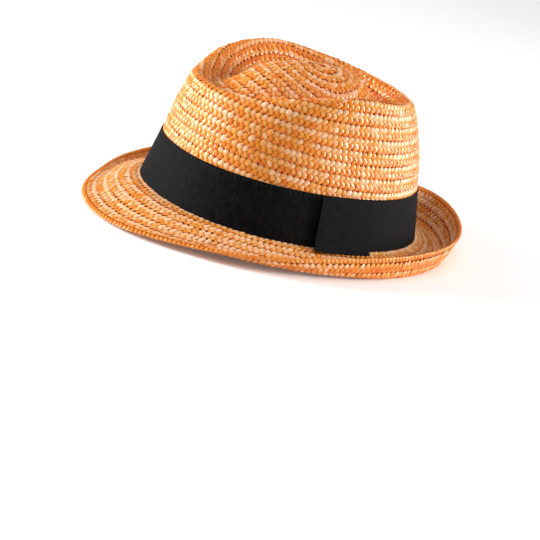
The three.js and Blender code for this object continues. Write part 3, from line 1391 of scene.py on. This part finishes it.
@dataclass
class Ribbon:
    """The grosgrain band round the foot of the crown, its stitches and its flat bow.

    Sizes are in millimetres and angles in radians.

    Attributes:
        surface: The crown's outer face.
        seat: Height of the band's lining over the straw.
        wall: Thickness of the cloth.
        ribs: Ribs round the band.
        rib_depth: Depth of a rib.
        drop: How far the band's lower edge hangs below the headline.
        stitches: Stitches round the band.
        stitch_place: Height of the stitches, as a share of the band's.
        pull: How far the stitches draw the cloth in.
        bow_front: Angle of the bow's front edge.
        bow_rear: Angle of its rear edge.
        bow_wall: Thickness of its cloth.
        bow_gap: Distance between the band and the bow.
        bow_lift: How much further its front edge stands off the band than its rear edge.
        bow_drop: How far its lower edge hangs below the headline.
        bow_flare: How far its lower edge lies out on the brim.
        bow_ribs: Ribs across the bow.
        bow_rib_depth: Depth of such a rib.
    """

    FACES_A_RIB, RIB_SHIFT, BOW_COLUMNS = 3, 0.02, 18
    # Heights at which the band has points, closer near the stitches, and the reach of their pull.
    HEIGHTS = np.array([0, 0.2, 0.4, 0.6, 0.78, 0.88, 0.915, 0.93, 0.945, 0.96, 0.975, 1.0])
    PULL_REACH = 0.016

    surface: Surface
    seat: float = 0.15
    wall: float = 0.6
    ribs: int = 400
    rib_depth: float = 0.16
    drop: float = 0.5
    stitches: int = 172
    stitch_place: float = 0.945
    pull: float = 0.45
    bow_front: float = math.radians(78.6)
    bow_rear: float = math.radians(101)
    bow_wall: float = 0.8
    bow_gap: float = 0.5
    bow_lift: float = 2.2
    bow_drop: float = 2.4
    bow_flare: float = 3.0
    bow_ribs: int = 21
    bow_rib_depth: float = 0.28

    def make(self, finishes: Finishes) -> None:
        """Builds and dresses the band, the bow and the stitches.

        Args:
            finishes: The hat's materials.
        """
        band = dress(self.band(), finishes.cloth, ["ribbon_band"])
        bow = dress(self.bow(), finishes.bow_cloth, ["ribbon_bow"])
        dress(self.stitching(), finishes.thread)

    def hang(self, turn: Array, height: Array, lift: Array, drop: float) -> Array:
        """Gives points of a cloth that lies on the crown and hangs a little below the headline.

        Args:
            turn: Angles round the hat.
            height: Heights, as a share from the headline to the ribbon's top edge.
            lift: Distance off the straw.
            drop: Distance that the lower edge hangs below the headline.

        Returns:
            The points, in metres.
        """
        top = self.surface.oval_share(RIBBON_TOP, turn)
        points = self.surface.place(turn, top * height, lift * MM)
        foot = self.surface.place(turn, np.zeros_like(turn), lift * MM)
        down = foot - self.surface.place(turn, np.full_like(turn, 0.01), lift * MM)
        down /= np.linalg.norm(down, axis=-1, keepdims=True)
        return points + down * (drop * MM * np.clip(1 - height, 0, 1) ** 3)[..., None]

    def rib(self, place: Array) -> Array:
        """Gives the rounded height of the ribs, as a share, at a place counted in ribs."""
        return 1 - (np.abs(np.mod(place + self.RIB_SHIFT, 1) - 0.5) * 2) ** 2

    def band(self) -> Piece:
        """Models the band: ribs that run up the ribbon, drawn in a little between the stitches.

        Returns:
            The band.
        """
        last = len(self.HEIGHTS) - 1

        def place(x: Array, y: Array) -> Array:
            """Wraps the grid round the crown.

            Args:
                x: Shares along the grid's X, round the hat.
                y: Shares along its Y.

            Returns:
                The points, in metres.
            """
            height = self.HEIGHTS[np.rint(y * last).astype(int)]
            near = np.exp(-(((height - self.stitch_place) / self.PULL_REACH) ** 2))
            drawn = near * (0.5 - 0.5 * np.cos(FULL_TURN * self.stitches * x))
            lift = self.seat + self.wall + self.rib_depth * self.rib(x * self.ribs) - self.pull * drawn
            return self.hang(x * FULL_TURN, height, lift, self.drop)

        return model_sheet("ribbon_cloth", self.ribs * self.FACES_A_RIB, last, place, self.wall, False)

    def stitching(self) -> Piece:
        """Lays the stitches along the band's top edge.

        Returns:
            The joined stitches.
        """
        cut, sink = STITCH, 0.05
        blank, faces = model_straw(cut)
        a, b, h = blank.T[:, None]
        middle = np.arange(self.stitches)[:, None] / self.stitches * FULL_TURN
        rate = self.surface.rate(middle, np.full_like(middle, 0.2)) / MM
        turn = middle + a * cut.length / rate
        height = np.broadcast_to(self.stitch_place + b * cut.width / RIBBON_HEIGHT, turn.shape)
        lift = np.broadcast_to(self.seat + self.wall - sink + h * cut.rise, turn.shape)
        points = self.hang(turn, height, lift, self.drop)
        laid = LaidStraws(points, faces, points[..., :2] / MM, np.zeros(self.stitches), blank[:, 2])
        return join_straws("ribbon_stitches", [laid], False)

    def bow(self) -> Piece:
        """Models the bow: a flat fold of ribbon whose ribs run round the hat.

        Returns:
            The bow.
        """

        def place(x: Array, y: Array) -> Array:
            """Lays the grid over the band, its ribs a little wavy.

            Args:
                x: Shares along the grid's X, round the hat.
                y: Shares along its Y.

            Returns:
                The points, in metres.
            """
            turn = self.bow_front + (self.bow_rear - self.bow_front) * x
            ribs = self.rib(y * self.bow_ribs + 0.12 * np.sin(x * 7.0))
            lift = self.seat + self.wall + self.bow_wall + self.bow_gap + self.bow_lift * (1 - x) ** 2
            lift = lift + self.bow_rib_depth * ribs + self.bow_flare * np.clip(1 - 6 * y, 0, 1) ** 2
            return self.hang(turn, y * 0.99, lift, self.bow_drop)

        rows = self.bow_ribs * self.FACES_A_RIB
        return model_sheet("bow_cloth", self.BOW_COLUMNS, rows, place, self.bow_wall, False)


# The studio.


def bearing(azimuth: float, elevation: float) -> Vector:
    """Gives the direction from the hat to a place round it.

    Args:
        azimuth: Degrees round the hat, from the front towards the wearer's left.
        elevation: Degrees over the horizon.

    Returns:
        The direction.
    """
    a, e = math.radians(azimuth), math.radians(elevation)
    return Vector((math.sin(a) * math.cos(e), -math.cos(a) * math.cos(e), math.sin(e)))


@dataclass(frozen=True)
class Softbox:
    """A soft rectangular lamp that faces the hat.

    Attributes:
        name: The lamp's name.
        azimuth: Its place round the hat, in degrees from the camera's.
        elevation: Its height over the horizon, in degrees.
        distance: From the hat, in metres.
        size: Width and height, in metres.
        power: In watts.
    """

    name: str
    azimuth: float
    elevation: float
    distance: float
    size: tuple[float, float]
    power: float


@dataclass
class Studio:
    """Pale floor, soft lights and the camera.

    Attributes:
        azimuth: Camera's place round the hat, in degrees from the front towards the wearer's left.
        elevation: Camera's height over the horizon, in degrees.
        roll: How far the camera is turned about its own line of sight, in degrees.
        distance: From the camera to the point it is aimed at, in metres.
        lens: Focal length in millimetres.
        aim: The point that the camera is aimed at, in metres.
        boxes: The lamps.
        surround: Brightness of the pale surroundings.
    """

    azimuth: float = 55.422
    elevation: float = 19.109
    roll: float = 14.293
    distance: float = 1.4901
    lens: float = 141.25
    aim: tuple[float, float, float] = (0.02896, -0.0101, -0.02666)
    boxes: tuple[Softbox, ...] = (
        Softbox("right_box", 93, 12, 1.6, (0.6, 1.05), 34),
        Softbox("left_box", -86, 14, 1.6, (0.6, 1.05), 42),
        Softbox("top_box", 0, 84, 2.0, (1.6, 1.6), 12),
    )
    surround: float = 0.315

    def make(self) -> None:
        """Sets up the camera, the floor and the lights."""
        self.camera()
        self.floor()
        for box in self.boxes:
            self.lamp(box)
        world = bpy.data.worlds.new("studio")
        world.use_nodes = True
        world.node_tree.nodes["Background"].inputs["Color"].default_value = (1.0, 1.0, 1.0, 1)
        world.node_tree.nodes["Background"].inputs["Strength"].default_value = self.surround
        bpy.context.scene.world = world
        bpy.context.scene.view_settings.view_transform = "Standard"
        bpy.context.scene.view_settings.look = "None"

    def camera(self) -> None:
        """Adds the camera."""
        back = bearing(self.azimuth, self.elevation)
        level = bearing(self.azimuth + 90, 0)
        raised = back.cross(level)
        r = math.radians(self.roll)
        right = level * math.cos(r) + raised * math.sin(r)
        up = raised * math.cos(r) - level * math.sin(r)
        data = bpy.data.cameras.new("camera")
        data.lens = self.lens
        data.sensor_width = 36
        data.clip_start, data.clip_end = 0.05, 50
        camera = bpy.data.objects.new("camera", data)
        turn = Matrix((right, up, back)).transposed().to_4x4()
        camera.matrix_world = Matrix.Translation(Vector(self.aim) + back * self.distance) @ turn
        bpy.context.scene.collection.objects.link(camera)
        bpy.context.scene.camera = camera

    def floor(self) -> None:
        """Adds the floor: a wide disc, level with what the hat rests on."""
        leave_edit_mode()
        bpy.ops.mesh.primitive_circle_add(vertices=96, radius=6, fill_type="NGON", location=(0, 0, 0))
        floor = bpy.context.object
        floor.name = "floor"
        paper = Finish("floor_paper", Roughness=0.9, Emission_Color=(1.0,) * 4, Emission_Strength=0.07)
        mottle = paper.noise(paper.place(), 3.0, 2.0)
        paper.colour(mottle, (0.3, (0.94,) * 3), (0.7, (0.98,) * 3))
        floor.data.materials.append(paper.material)

    def lamp(self, box: Softbox) -> None:
        """Adds a lamp, aimed at the middle of the hat.

        Args:
            box: The lamp's place, size and power.
        """
        back = bearing(self.azimuth + box.azimuth, box.elevation)
        data = bpy.data.lights.new(box.name, "AREA")
        data.shape = "RECTANGLE"
        data.size, data.size_y = box.size
        data.energy = box.power
        lamp = bpy.data.objects.new(box.name, data)
        lamp.location = Vector((0, 0, 0.06)) + back * box.distance
        lamp.rotation_mode = "QUATERNION"
        lamp.rotation_quaternion = (-back).to_track_quat("-Z", "Y")
        bpy.context.scene.collection.objects.link(lamp)


def main() -> None:
    """Builds the studio and the hat in order."""
    logging.basicConfig(level=logging.INFO, format="%(name)s: %(message)s")
    Studio().make()
    offset = rest_offset()
    crown_face, brim_middle = Surface(CROWN_OVALS, offset), Surface(BRIM_OVALS, offset)
    finishes = Finishes()
    for assembly in (Crown(crown_face), Brim(brim_middle), RolledRim(brim_middle), Ribbon(crown_face)):
        assembly.make(finishes)


if __name__ == "__main__":
    main()
